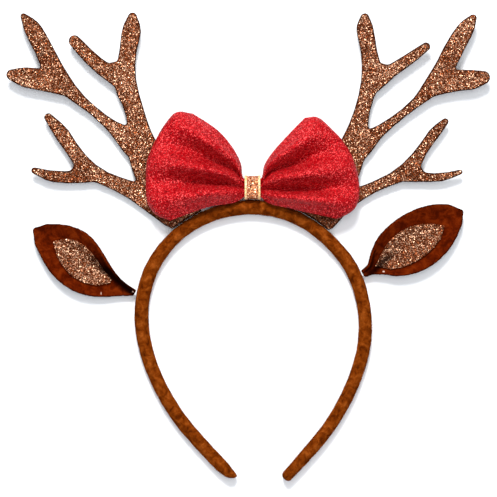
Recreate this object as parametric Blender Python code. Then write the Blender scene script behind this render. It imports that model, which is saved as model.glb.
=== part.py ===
"""A reindeer antler headband, lying on its back with its front facing up.

The band is a felt-covered hoop. Two glittered antlers are cut from thick sheet and glued by
their feet to its outer edge. Two cupped felt ears, each with a glittered leaf inside, are
pinched against its sides. A glittered ribbon, joined into a loop and gathered in the middle by
a gold wrap, makes the bow that sits on top.

X runs to the right, Y towards the tips of the antlers, and Z out of the front. The tables
below are in millimetres, and the meshes are placed so that the origin is at the middle of the
object's outline, on the surface that it lies on.
"""

import math
from collections import namedtuple

import bpy
import numpy as np
from mathutils.geometry import delaunay_2d_cdt

MILLIMETRE = 0.001
OUTLINE_MIDDLE = np.array((-0.25, 0.95, 0.0))
GLUE_GAP = 0.3
FACET_SLACK = 0.1

# The band: its middle line from the left tip over the top to the right tip. Skew turns a
# section, so that the left tip is cut straight across.
BAND_DEPTH = 9.2
BAND_MIDDLE_Z = 4.0
BAND_SIDES = 20
BAND_SPACING = 6.5
BandSection = namedtuple("BandSection", "x y width skew")
BAND = (
    BandSection(-9.7, -120.4, 6.6, -38),
    BandSection(-13.4, -116.6, 7.2, -14),
    BandSection(-22.5, -107.0, 7.2, 0),
    BandSection(-38.5, -88.0, 7.3, 0),
    BandSection(-49.0, -69.5, 7.3, 0),
    BandSection(-55.5, -50.5, 7.4, 0),
    BandSection(-57.1, -31.0, 7.6, 0),
    BandSection(-51.5, -10.0, 7.6, 0),
    BandSection(-38.5, 7.0, 7.2, 0),
    BandSection(-20.0, 18.0, 7.2, 0),
    BandSection(1.5, 22.0, 7.8, 0),
    BandSection(22.5, 17.6, 7.2, 0),
    BandSection(40.5, 6.0, 7.2, 0),
    BandSection(54.0, -10.0, 7.4, 0),
    BandSection(60.7, -30.0, 7.2, 0),
    BandSection(61.0, -51.0, 7.2, 0),
    BandSection(55.0, -71.5, 7.0, 0),
    BandSection(44.5, -91.5, 6.9, 0),
    BandSection(29.5, -110.3, 6.7, 0),
    BandSection(19.8, -121.0, 5.9, 0),
)
DomeRing = namedtuple("DomeRing", "reach size")
BAND_TIP = (DomeRing(0.8, 0.86), DomeRing(1.4, 0.6), DomeRing(1.7, 0.25))

# The antlers: each branch is a row of round spots, joined into one outline.
ANTLER_THICKNESS = 2.4
ANTLER_FOOT_Z = 4.3
ANTLER_LIFT = 4.0
ANTLER_LIFT_REACH = 130.0
CROTCH_FILLET = 0.7
BRANCH_SPACING = 2.5
OUTLINE_STEP = 0.7
OUTLINE_LONGEST = 1500.0
OUTLINE_TURN = math.radians(13)
OUTLINE_SPAN = 7.0
SHEET_LATTICE = 5.5
SHEET_MARGIN = 1.8
BranchSpot = namedtuple("BranchSpot", "x y width")
LEFT_ANTLER = (
    (  # inner beam, from the foot to its tip
        BranchSpot(-31.0, 13.0, 18.0),
        BranchSpot(-45.0, 30.0, 17.2),
        BranchSpot(-54.0, 46.5, 18.4),
        BranchSpot(-57.6, 60.0, 12.4),
        BranchSpot(-59.3, 67.0, 10.6),
        BranchSpot(-62.0, 77.0, 10.1),
        BranchSpot(-65.0, 85.0, 11.6),
        BranchSpot(-65.4, 92.0, 10.2),
        BranchSpot(-64.1, 105.5, 9.0),
        BranchSpot(-62.2, 116.5, 9.6),
        BranchSpot(-61.8, 122.6, 5.0),
    ),
    (  # outer beam
        BranchSpot(-61.0, 56.0, 14.8),
        BranchSpot(-72.8, 65.0, 6.8),
        BranchSpot(-82.6, 73.2, 4.9),
        BranchSpot(-92.3, 81.3, 7.0),
        BranchSpot(-102.4, 93.0, 10.4),
        BranchSpot(-109.0, 106.0, 9.8),
        BranchSpot(-115.2, 117.2, 8.6),
        BranchSpot(-119.4, 123.0, 3.4),
    ),
    (  # outer tine
        BranchSpot(-99.6, 86.6, 10.2),
        BranchSpot(-109.0, 89.2, 11.2),
        BranchSpot(-119.0, 90.8, 10.4),
        BranchSpot(-125.6, 92.0, 6.0),
    ),
    (  # inner tine
        BranchSpot(-68.0, 90.0, 10.0),
        BranchSpot(-76.5, 94.6, 8.2),
        BranchSpot(-84.5, 101.4, 7.4),
        BranchSpot(-92.5, 110.0, 6.4),
    ),
    (  # web between the inner tine and the beam
        BranchSpot(-66.5, 92.5, 9.0),
        BranchSpot(-71.0, 94.4, 9.0),
    ),
    (  # lower beam
        BranchSpot(-41.0, 19.5, 16.0),
        BranchSpot(-54.0, 27.0, 12.4),
        BranchSpot(-66.5, 33.0, 8.4),
        BranchSpot(-77.0, 37.4, 7.6),
        BranchSpot(-85.2, 42.2, 8.6),
        BranchSpot(-93.2, 52.0, 7.4),
        BranchSpot(-99.5, 61.2, 7.8),
        BranchSpot(-106.4, 69.6, 4.6),
    ),
    (  # lower tine
        BranchSpot(-85.0, 39.4, 8.4),
        BranchSpot(-95.0, 37.9, 6.6),
        BranchSpot(-105.0, 38.5, 6.0),
        BranchSpot(-113.8, 41.4, 3.4),
    ),
    (  # web between the lower tine and the lower beam
        BranchSpot(-87.5, 42.5, 7.0),
        BranchSpot(-90.8, 41.2, 6.2),
    ),
)
RIGHT_ANTLER = (
    (  # inner beam
        BranchSpot(28.5, 12.5, 18.0),
        BranchSpot(44.5, 29.5, 16.2),
        BranchSpot(51.6, 45.0, 17.0),
        BranchSpot(56.8, 60.0, 12.4),
        BranchSpot(58.6, 68.0, 9.2),
        BranchSpot(60.8, 76.5, 8.0),
        BranchSpot(64.8, 93.0, 10.2),
        BranchSpot(62.9, 107.5, 8.4),
        BranchSpot(61.2, 117.5, 8.6),
        BranchSpot(61.2, 122.3, 4.8),
    ),
    (  # outer beam
        BranchSpot(59.0, 54.5, 13.0),
        BranchSpot(68.2, 61.6, 7.0),
        BranchSpot(78.8, 69.6, 4.5),
        BranchSpot(88.0, 77.0, 5.2),
        BranchSpot(96.6, 85.8, 9.2),
        BranchSpot(104.5, 98.0, 10.2),
        BranchSpot(110.4, 109.5, 10.2),
        BranchSpot(115.6, 117.8, 7.8),
        BranchSpot(118.4, 122.0, 4.0),
    ),
    (  # outer tine
        BranchSpot(99.6, 86.4, 10.2),
        BranchSpot(108.0, 88.8, 11.2),
        BranchSpot(118.0, 89.5, 10.4),
        BranchSpot(124.0, 90.6, 7.2),
    ),
    (  # inner tine
        BranchSpot(67.0, 88.0, 9.0),
        BranchSpot(76.0, 94.7, 6.8),
        BranchSpot(85.0, 100.6, 6.2),
        BranchSpot(93.6, 106.9, 4.8),
    ),
    (  # web between the inner tine and the beam
        BranchSpot(66.5, 92.5, 8.8),
        BranchSpot(70.4, 93.9, 8.2),
    ),
    (  # lower beam
        BranchSpot(40.0, 17.0, 15.0),
        BranchSpot(52.4, 25.8, 9.6),
        BranchSpot(64.3, 31.9, 6.0),
        BranchSpot(74.5, 36.5, 6.2),
        BranchSpot(84.5, 42.3, 8.4),
        BranchSpot(92.2, 53.0, 5.8),
        BranchSpot(98.4, 61.6, 6.0),
        BranchSpot(103.9, 67.3, 3.8),
    ),
    (  # lower tine
        BranchSpot(84.5, 39.4, 8.0),
        BranchSpot(93.0, 37.9, 5.0),
        BranchSpot(102.0, 37.9, 4.4),
        BranchSpot(111.8, 40.6, 2.8),
    ),
    (  # web between the lower tine and the lower beam
        BranchSpot(86.5, 42.5, 7.0),
        BranchSpot(89.0, 40.8, 5.8),
    ),
)

# The ears: sections across a cupped leaf. Along is measured from its base, upper and lower are
# the widths to each side, keel is the height of the fold and the rims rise above it.
EAR_THICKNESS = 1.6
EAR_ACROSS = 10
EAR_SPACING = 5.0
EAR_CUP = 1.7
LEAF_THICKNESS = 0.8
LEAF_GAP = 0.75
LEAF_ACROSS = 6
EarSection = namedtuple("EarSection", "along upper lower keel upper_rim lower_rim")
LeafSection = namedtuple("LeafSection", "along upper lower")
EarPlace = namedtuple("EarPlace", "base_x base_y heading side")
LEFT_EAR_PLACE = EarPlace(-60.5, -23.2, 148.0, -1)
RIGHT_EAR_PLACE = EarPlace(60.2, -13.3, 32.1, 1)
LEFT_EAR = (
    EarSection(0.0, 0.8, 1.6, 2.9, 3.0, 2.4),
    EarSection(6.0, 0.9, 5.6, 2.6, 6.4, 2.6),
    EarSection(12.0, 2.1, 10.3, 2.6, 8.0, 3.0),
    EarSection(18.0, 4.7, 13.8, 2.8, 8.6, 3.4),
    EarSection(25.0, 8.4, 16.1, 3.0, 8.2, 3.8),
    EarSection(32.0, 11.6, 16.8, 3.2, 7.0, 4.0),
    EarSection(39.0, 13.1, 16.0, 3.6, 5.4, 3.8),
    EarSection(46.0, 12.2, 13.6, 4.2, 3.8, 3.2),
    EarSection(54.0, 9.0, 9.2, 5.2, 2.4, 2.2),
    EarSection(60.3, 4.5, 4.7, 6.2, 1.2, 1.2),
    EarSection(63.4, 0.5, 0.5, 6.8, 0.2, 0.2),
)
RIGHT_EAR = (
    EarSection(0.0, 1.2, 1.5, 2.9, 2.8, 2.6),
    EarSection(4.5, 2.0, 2.7, 2.6, 5.4, 3.6),
    EarSection(8.4, 5.8, 5.1, 2.6, 7.0, 4.4),
    EarSection(13.6, 10.2, 9.8, 2.8, 7.4, 4.8),
    EarSection(19.0, 12.7, 12.7, 3.0, 7.0, 4.8),
    EarSection(26.0, 14.3, 15.0, 3.2, 6.0, 4.6),
    EarSection(33.0, 14.9, 15.7, 3.6, 5.0, 4.2),
    EarSection(40.0, 14.4, 14.9, 4.0, 4.0, 3.6),
    EarSection(47.0, 12.9, 12.7, 4.6, 3.0, 2.8),
    EarSection(54.5, 9.4, 8.6, 5.4, 2.0, 2.0),
    EarSection(59.9, 5.2, 4.4, 6.0, 1.0, 1.0),
    EarSection(62.8, 0.5, 0.5, 6.4, 0.2, 0.2),
)
LEFT_LEAF = (
    LeafSection(14.0, 0.2, 3.4),
    LeafSection(20.0, 2.8, 8.6),
    LeafSection(26.0, 5.4, 10.6),
    LeafSection(32.0, 7.4, 10.9),
    LeafSection(38.0, 8.0, 9.8),
    LeafSection(44.0, 6.6, 6.9),
    LeafSection(48.8, 3.4, 3.4),
    LeafSection(51.2, 0.4, 0.4),
)
RIGHT_LEAF = (
    LeafSection(7.8, 0.4, 0.6),
    LeafSection(11.0, 3.2, 5.0),
    LeafSection(17.0, 6.8, 8.2),
    LeafSection(24.0, 8.8, 9.8),
    LeafSection(32.0, 9.0, 10.0),
    LeafSection(39.0, 7.1, 8.9),
    LeafSection(45.0, 3.6, 6.6),
    LeafSection(49.2, -0.4, 2.9),
    LeafSection(50.2, -1.2, 1.9),
)

# The bow: a loop of ribbon. Each row follows one fold or one puff from the gather to the edge
# of its lobe, from the top edge of the ribbon to the bottom edge.
RIBBON_THICKNESS = 1.0
BOW_CENTRE_X = 1.75
BOW_NECK_X = 4.7
BOW_KNOT_Z = 7.0
BOW_GATHER_BACK_Z = 5.4
BOW_BACK_Z = 7.4
BOW_EDGE_Z = 11.5
BOW_ALONG = 12
BOW_FLARE_ACROSS = 0.15
BOW_FLARE_UP = 0.33
BOW_BACK_ALONG = 6
BOW_ACROSS_SPACING = 3.4
BowFold = namedtuple("BowFold", "neck_y neck_z mid_x mid_y mid_z end_x end_y end_z")
LEFT_LOBE = (
    BowFold(36.8, 8.4, -15.4, 60.6, 14.5, -34.2, 72.4, 16.5),
    BowFold(35.8, 9.0, -21.0, 55.0, 22.5, -41.4, 69.0, 20.5),
    BowFold(34.7, 8.3, -20.0, 47.2, 15.5, -48.6, 58.0, 19.5),
    BowFold(33.0, 9.0, -25.0, 41.5, 23.5, -53.4, 46.5, 22.5),
    BowFold(31.6, 8.3, -21.5, 35.6, 15.0, -54.2, 35.5, 19.5),
    BowFold(30.2, 9.0, -26.0, 29.5, 21.5, -53.0, 24.0, 20.0),
    BowFold(28.4, 8.4, -20.5, 23.6, 13.5, -43.4, 15.4, 15.5),
)
RIGHT_LOBE = (
    BowFold(36.8, 8.4, 20.4, 59.4, 14.5, 33.4, 69.2, 16.5),
    BowFold(35.8, 9.0, 24.0, 52.6, 22.5, 41.0, 65.2, 20.5),
    BowFold(34.7, 8.3, 25.0, 45.4, 15.5, 51.0, 54.0, 19.5),
    BowFold(33.0, 9.0, 28.5, 39.0, 23.5, 56.0, 43.0, 22.5),
    BowFold(31.6, 8.3, 26.0, 32.0, 15.0, 57.7, 33.0, 19.5),
    BowFold(30.2, 9.0, 28.0, 27.0, 21.5, 56.4, 23.0, 20.0),
    BowFold(28.4, 8.4, 22.5, 22.2, 13.5, 47.0, 16.0, 15.5),
)

# The gold wrap around the middle of the bow.
WRAP_THICKNESS = 1.0
WRAP_LENGTH = 8.4
WRAP_HEIGHT = 12.4
WRAP_DEPTH = 10.4
WRAP_CENTRE_Y = 32.35
WRAP_SQUARENESS = 5.0
WRAP_SIDES = 28

Finish = namedtuple("Finish", "colour roughness metallic")
BAND_FELT = Finish((0.26, 0.07, 0.01), 0.95, 0.0)
EAR_FELT = Finish((0.11, 0.013, 0.004), 0.95, 0.0)
BROWN_GLITTER = Finish((0.33, 0.14, 0.07), 0.4, 0.6)
RED_GLITTER = Finish((0.58, 0.01, 0.02), 0.45, 0.3)
GOLD_GLITTER = Finish((0.8, 0.42, 0.18), 0.35, 0.7)


def clear_scene():
    """Remove every object of the open file."""
    for item in list(bpy.data.objects):
        bpy.data.objects.remove(item, do_unlink=True)


def make_material(name, finish):
    """Return a plain material of the given finish."""
    material = bpy.data.materials.new(name)
    material.use_nodes = True
    shader = material.node_tree.nodes["Principled BSDF"]
    shader.inputs["Base Color"].default_value = (*finish.colour, 1.0)
    shader.inputs["Roughness"].default_value = finish.roughness
    shader.inputs["Metallic"].default_value = finish.metallic
    return material


def add_object(name, points, faces, material):
    """Make a smooth-shaded object from points in millimetres and faces of point numbers."""
    mesh = bpy.data.meshes.new(name)
    placed = (np.array(points) - OUTLINE_MIDDLE) * MILLIMETRE
    mesh.from_pydata(placed.tolist(), [], faces)
    mesh.materials.append(material)
    mesh.shade_smooth()
    mesh.set_sharp_from_angle(angle=math.radians(40))
    item = bpy.data.objects.new(name, mesh)
    bpy.context.scene.collection.objects.link(item)
    return item


def thicken(item, thickness):
    """Give a surface its wall, half to each side."""
    wall = item.modifiers.new("wall", "SOLIDIFY")
    wall.thickness = thickness * MILLIMETRE
    wall.offset = 0.0


def smooth_rows(rows, places):
    """Pass one smooth curve through the rows, and read it at places from 0 to 1.

    The rows are spaced by their distance in the first two columns.
    """
    rows = np.array(rows, float)
    gaps = np.maximum(np.hypot(*(np.diff(rows[:, :2], axis=0).T)), 1e-6)
    knots = np.concatenate(([0.0], np.cumsum(gaps)))
    slopes = np.diff(rows, axis=0) / gaps[:, None]
    share = (gaps[1:] / (gaps[:-1] + gaps[1:]))[:, None]
    inner = slopes[:-1] * share + slopes[1:] * (1 - share)
    tangents = np.vstack((slopes[:1], inner, slopes[-1:]))
    where = np.clip(np.asarray(places) * knots[-1], 0.0, knots[-1])
    span = np.clip(np.searchsorted(knots, where, side="right") - 1, 0, len(gaps) - 1)
    u = ((where - knots[span]) / gaps[span])[:, None]
    reach = gaps[span][:, None]
    return (
        rows[span] * (2 * u**3 - 3 * u**2 + 1)
        + tangents[span] * reach * (u**3 - 2 * u**2 + u)
        + rows[span + 1] * (3 * u**2 - 2 * u**3)
        + tangents[span + 1] * reach * (u**3 - u**2)
    )


def even_places(rows, spacing):
    """Return even places from 0 to 1 that read the rows about one spacing apart."""
    rows = np.array(rows, float)
    length = np.hypot(*(np.diff(rows[:, :2], axis=0).T)).sum()
    return np.linspace(0.0, 1.0, max(2, round(length / spacing)) + 1)


def grid_faces(rows, columns, closed_rows=False, closed_columns=False):
    """Return the quads of a grid whose points are listed row by row."""
    faces = []
    for i in range(rows if closed_rows else rows - 1):
        for j in range(columns if closed_columns else columns - 1):
            i_next = (i + 1) % rows
            j_next = (j + 1) % columns
            here, there = i * columns, i_next * columns
            faces.append((here + j, there + j, there + j_next, here + j_next))
    return faces


def band_line():
    """Return the band's sections as an array of x, y, width and skew."""
    return smooth_rows(BAND, even_places(BAND, BAND_SPACING))


def make_band(material):
    """Sweep the oval felt section along the band, flat where it lies and domed at both tips."""
    line = band_line()
    headings = np.gradient(line[:, :2], axis=0)
    headings /= np.linalg.norm(headings, axis=1)[:, None]
    rings = [(row, heading, 1.0) for row, heading in zip(line, headings)]
    for end, outward in ((0, -1.0), (-1, 1.0)):
        for dome in BAND_TIP:
            tip = line[end].copy()
            tip[:2] += headings[end] * outward * dome.reach
            ring = (tip, headings[end], dome.size)
            rings = [ring, *rings] if end == 0 else [*rings, ring]
    points = []
    for (x, y, width, skew), heading, size in rings:
        turn = math.atan2(heading[1], heading[0]) + math.pi / 2 + math.radians(skew)
        for side in range(BAND_SIDES):
            angle = -2 * math.pi * (side + 0.5) / BAND_SIDES
            across = math.cos(angle) * width / 2 * size
            z = max(0.0, BAND_MIDDLE_Z + math.sin(angle) * BAND_DEPTH / 2 * size)
            points.append((x + across * math.cos(turn), y + across * math.sin(turn), z))
    faces = grid_faces(len(rings), BAND_SIDES, closed_columns=True)
    faces.append(tuple(range(BAND_SIDES)))
    faces.append(tuple(reversed(range(len(points) - BAND_SIDES, len(points)))))
    return add_object("band", points, faces, material)


def depth_in_path(point, path):
    """Return how deep a point lies inside a path of x, y and half-width; negative is outside."""
    start = path[:-1]
    step = path[1:] - start
    away = point - start[:, :2]
    along = np.clip((away * step[:, :2]).sum(axis=1) / (step[:, :2] ** 2).sum(axis=1), 0.0, 1.0)
    distance = np.linalg.norm(away - along[:, None] * step[:, :2], axis=1)
    return (start[:, 2] + along * step[:, 2] - distance).max()


class AntlerOutline:
    """The flat shape of one antler: its branches run together, cut off along the band."""

    def __init__(self, branches, band):
        self.branches = [smooth_rows(rows, even_places(rows, BRANCH_SPACING)) for rows in branches]
        for path in self.branches:
            path[:, 2] /= 2
        self.band = np.column_stack((band[:, :2], band[:, 2] / 2 + GLUE_GAP + FACET_SLACK))

    def depth(self, point):
        """Return how deep a point lies inside the antler."""
        depths = np.array([depth_in_path(point, path) for path in self.branches])
        deepest = depths.max()
        joined = deepest + CROTCH_FILLET * math.log(np.exp((depths - deepest) / CROTCH_FILLET).sum())
        return min(joined, -depth_in_path(point, self.band))

    def slope(self, point):
        """Return the direction in which the depth grows, and how fast."""
        reach = 0.02
        east, north = np.array((reach, 0.0)), np.array((0.0, reach))
        return np.array((
            (self.depth(point + east) - self.depth(point - east)) / (2 * reach),
            (self.depth(point + north) - self.depth(point - north)) / (2 * reach),
        ))

    def settle(self, point):
        """Move a point onto the edge."""
        for _ in range(4):
            slope = self.slope(point)
            point = point - slope * self.depth(point) / max(slope @ slope, 0.2)
        return point

    def trace(self):
        """Walk once around the edge, and keep the points that its bends need."""
        beam = self.branches[0]
        point = self.settle(beam[-1, :2] + (0.0, beam[-1, 2]))
        walk = [point]
        for step in range(round(OUTLINE_LONGEST / OUTLINE_STEP)):
            if step > 20 and np.linalg.norm(walk[-1] - walk[0]) < OUTLINE_STEP:
                break
            slope = self.slope(walk[-1])
            heading = np.array((-slope[1], slope[0])) / np.linalg.norm(slope)
            walk.append(self.settle(walk[-1] + heading * OUTLINE_STEP))
        kept = [walk[0]]
        turned = 0.0
        for before, here, after in zip(walk, walk[1:], walk[2:]):
            first, second = here - before, after - here
            turn = math.atan2(first[0] * second[1] - first[1] * second[0], first @ second)
            turned += abs(turn)
            if turned > OUTLINE_TURN or np.linalg.norm(here - kept[-1]) > OUTLINE_SPAN:
                kept.append(here)
                turned = 0.0
        return kept

    def inside_points(self):
        """Return a lattice of points well inside the edge, which let the sheet bend."""
        spots = np.vstack([path[:, :2] for path in self.branches])
        low, high = spots.min(axis=0), spots.max(axis=0)
        lattice = [
            np.array((x, y))
            for x in np.arange(low[0], high[0], SHEET_LATTICE)
            for y in np.arange(low[1], high[1], SHEET_LATTICE)
        ]
        return [point for point in lattice if self.depth(point) > SHEET_MARGIN]


def make_antler(name, branches, material):
    """Cut an antler from thick sheet, and let it lift gently towards its tips."""
    outline = AntlerOutline(branches, band_line())
    edge = outline.trace()
    flat = [tuple(point) for point in edge + outline.inside_points()]
    placed, _, triangles, *_ = delaunay_2d_cdt(flat, [], [list(range(len(edge)))], 1, 1e-5)
    foot = np.array(branches[0][0][:2])
    points = []
    for x, y in placed:
        reach = np.linalg.norm(np.array((x, y)) - foot) / ANTLER_LIFT_REACH
        points.append((x, y, ANTLER_FOOT_Z + ANTLER_LIFT * reach**2))
    antler = add_object(name, points, triangles, material)
    thicken(antler, ANTLER_THICKNESS)
    return antler


class CuppedEar:
    """The curved middle surface of one ear, in its own place on the band."""

    def __init__(self, sections, place):
        self.sections = np.array(sections, float)
        self.place = place

    def section(self, along):
        """Return the widths and heights of the ear at a distance from its base."""
        table = self.sections
        rows = np.column_stack((table[:, 0], np.zeros(len(table)), table[:, 1:]))
        share = (along - table[0, 0]) / (table[-1, 0] - table[0, 0])
        return smooth_rows(rows, [share])[0, 2:]

    def point(self, along, across):
        """Return the place of a spot: across is positive towards the upper edge."""
        upper, lower, keel, upper_rim, lower_rim = self.section(along)
        width, rim = (upper, upper_rim) if across > 0 else (lower, lower_rim)
        z = keel + rim * min(1.0, abs(across) / width) ** EAR_CUP
        turn = math.radians(self.place.heading)
        side = across * self.place.side
        x = self.place.base_x + along * math.cos(turn) - side * math.sin(turn)
        y = self.place.base_y + along * math.sin(turn) + side * math.cos(turn)
        return np.array((x, y, z))

    def above(self, along, across, height):
        """Return a spot raised from the surface, square to it."""
        reach = 0.2
        lengthwise = self.point(along + reach, across) - self.point(along - reach, across)
        crosswise = self.point(along, across + reach) - self.point(along, across - reach)
        normal = np.cross(lengthwise, crosswise) * self.place.side
        return self.point(along, across) + normal / np.linalg.norm(normal) * height


def make_ear(name, ear, material):
    """Cup a felt leaf, pinched where it meets the band."""
    table = [(along, 0.0, upper, lower) for along, upper, lower, *_ in ear.sections]
    rows = smooth_rows(table, even_places(table, EAR_SPACING))
    points = []
    for along, _, upper, lower in rows:
        for share in np.linspace(0.0, 1.0, EAR_ACROSS + 1):
            points.append(ear.point(along, upper - share * (upper + lower)))
    item = add_object(name, points, grid_faces(len(rows), EAR_ACROSS + 1), material)
    thicken(item, EAR_THICKNESS)
    return item


def make_leaf(name, sections, ear, material):
    """Lay a glittered leaf inside an ear, following its cup."""
    table = [(s.along, 0.0, s.upper, s.lower) for s in sections]
    rows = smooth_rows(table, even_places(table, EAR_SPACING))
    height = (EAR_THICKNESS + LEAF_THICKNESS) / 2 + LEAF_GAP
    points = []
    for along, _, upper, lower in rows:
        for share in np.linspace(0.0, 1.0, LEAF_ACROSS + 1):
            points.append(ear.above(along, upper - share * (upper + lower), height))
    item = add_object(name, points, grid_faces(len(rows), LEAF_ACROSS + 1), material)
    thicken(item, LEAF_THICKNESS)
    return item


def lobe_lines(folds, side):
    """Return one lobe's ribbon, fold by fold: from the gather over the front, round and back."""
    steps = np.linspace(0.0, 1.0, BOW_ALONG + 1)
    out = (steps + np.sin(steps * math.pi / 2)) / 2
    home = np.sin(np.linspace(math.pi / 2, 0.0, BOW_BACK_ALONG + 1))[1:]
    neck_x = BOW_CENTRE_X + side * BOW_NECK_X
    lines = []
    for fold in folds:
        flare_x = neck_x + BOW_FLARE_ACROSS * (fold.mid_x - neck_x)
        flare_y = fold.neck_y + BOW_FLARE_UP * (fold.mid_y - fold.neck_y)
        front_rows = [
            (BOW_CENTRE_X, fold.neck_y, fold.neck_z),
            (neck_x, fold.neck_y, fold.neck_z),
            (flare_x, flare_y, fold.neck_z + BOW_FLARE_UP * (fold.mid_z - fold.neck_z)),
            (fold.mid_x, fold.mid_y, fold.mid_z),
            (fold.end_x, fold.end_y, fold.end_z),
        ]
        back_heights = 2 * [BOW_GATHER_BACK_Z] + 3 * [BOW_BACK_Z]
        back_rows = [(x, y, z) for (x, y, _), z in zip(front_rows, back_heights)]
        neck = BOW_NECK_X / np.hypot(*np.diff(np.array(front_rows)[:, :2], axis=0).T).sum()
        front = smooth_rows(front_rows, [0.0, *(neck + (1 - neck) * out)])
        back = smooth_rows(back_rows, [*(neck + (1 - neck) * home), 0.0])
        front[1:, 2] = BOW_EDGE_Z + (front[1:, 2] - BOW_EDGE_Z) * np.sqrt(1 - out**6)
        back[:-1, 2] = BOW_EDGE_Z + (back[:-1, 2] - BOW_EDGE_Z) * np.sqrt(1 - home**14)
        lines.append(np.vstack((front, back)))
    return lines


def make_bow(material):
    """Gather a loop of ribbon into two puffed lobes, open along its top and bottom edges."""
    left = lobe_lines(LEFT_LOBE, -1)
    right = lobe_lines(RIGHT_LOBE, 1)
    loops = [np.vstack((a[:-1], b[::-1][:-1])) for a, b in zip(left, right)]
    around = len(loops[0])
    places = even_places([(fold.end_x, fold.end_y) for fold in LEFT_LOBE], BOW_ACROSS_SPACING)
    spread = np.linspace(0.0, 1.0, len(LEFT_LOBE))
    points = []
    for station in range(around):
        column = [(share * 100, 0.0, *loop[station]) for share, loop in zip(spread, loops)]
        points.extend(row[2:] for row in smooth_rows(column, places))
    faces = grid_faces(around, len(places), closed_rows=True)
    bow = add_object("bow", points, faces, material)
    thicken(bow, RIBBON_THICKNESS)
    return bow


def make_bow_wrap(material):
    """Bend a strip around the gather, seated on the top of the band."""
    points = []
    for side in range(WRAP_SIDES):
        angle = 2 * math.pi * side / WRAP_SIDES
        up, out = math.cos(angle), math.sin(angle)
        reach = (abs(up) ** WRAP_SQUARENESS + abs(out) ** WRAP_SQUARENESS) ** (-1 / WRAP_SQUARENESS)
        y = WRAP_CENTRE_Y + reach * up * (WRAP_HEIGHT - WRAP_THICKNESS) / 2
        z = BOW_KNOT_Z + reach * out * (WRAP_DEPTH - WRAP_THICKNESS) / 2
        for share in (-0.5, 0.5):
            points.append((BOW_CENTRE_X + share * WRAP_LENGTH, y, z))
    wrap = add_object("bow_wrap", points, grid_faces(WRAP_SIDES, 2, closed_rows=True), material)
    thicken(wrap, WRAP_THICKNESS)
    return wrap


def main():
    """Build the whole headband."""
    clear_scene()
    band_felt = make_material("band_felt", BAND_FELT)
    ear_felt = make_material("ear_felt", EAR_FELT)
    brown_glitter = make_material("brown_glitter", BROWN_GLITTER)
    red_glitter = make_material("red_glitter", RED_GLITTER)
    gold_glitter = make_material("gold_glitter", GOLD_GLITTER)
    make_band(band_felt)
    make_antler("antler_left", LEFT_ANTLER, brown_glitter)
    make_antler("antler_right", RIGHT_ANTLER, brown_glitter)
    left_ear = CuppedEar(LEFT_EAR, LEFT_EAR_PLACE)
    right_ear = CuppedEar(RIGHT_EAR, RIGHT_EAR_PLACE)
    make_ear("ear_left", left_ear, ear_felt)
    make_ear("ear_right", right_ear, ear_felt)
    make_leaf("inner_ear_left", LEFT_LEAF, left_ear, brown_glitter)
    make_leaf("inner_ear_right", RIGHT_LEAF, right_ear, brown_glitter)
    make_bow(red_glitter)
    make_bow_wrap(gold_glitter)


main()
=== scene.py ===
"""The looks of a reindeer antler headband, lying on its back on a pale floor.

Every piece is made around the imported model: a felt hoop, two antlers cut from glittered
sheet, two cupped felt ears with glittered leaves, and a gathered glitter bow with a gold wrap.
"""

import math
from collections import namedtuple

import bmesh
import bpy
import numpy as np
from mathutils.kdtree import KDTree
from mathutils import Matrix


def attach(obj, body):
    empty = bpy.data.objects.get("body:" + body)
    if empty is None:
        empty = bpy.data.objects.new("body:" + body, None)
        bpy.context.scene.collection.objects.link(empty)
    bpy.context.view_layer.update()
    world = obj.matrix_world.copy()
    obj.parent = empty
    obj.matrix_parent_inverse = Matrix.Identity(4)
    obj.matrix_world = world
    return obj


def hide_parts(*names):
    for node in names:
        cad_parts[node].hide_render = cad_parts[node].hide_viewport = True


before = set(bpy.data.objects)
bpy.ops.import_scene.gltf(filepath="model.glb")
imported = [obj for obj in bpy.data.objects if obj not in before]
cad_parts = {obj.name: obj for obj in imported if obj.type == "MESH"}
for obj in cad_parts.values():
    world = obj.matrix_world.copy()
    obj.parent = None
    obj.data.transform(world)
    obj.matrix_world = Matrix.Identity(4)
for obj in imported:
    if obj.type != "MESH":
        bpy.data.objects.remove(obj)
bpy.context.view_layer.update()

MM = 0.001
SEED = 11

# Where the tables' zero lies in the frame, in millimetres.
OUTLINE_MIDDLE = np.array((-0.25, 0.95, 0.0))

# The photograph's frame: its width in real size, the place under its centre, and the camera.
VIEW_WIDTH = 263.4 * MM
VIEW_CENTRE = (-0.12 * MM, -0.84 * MM, 6.0 * MM)
CAMERA_DISTANCE = 1.6
SENSOR_WIDTH = 36.0

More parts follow.
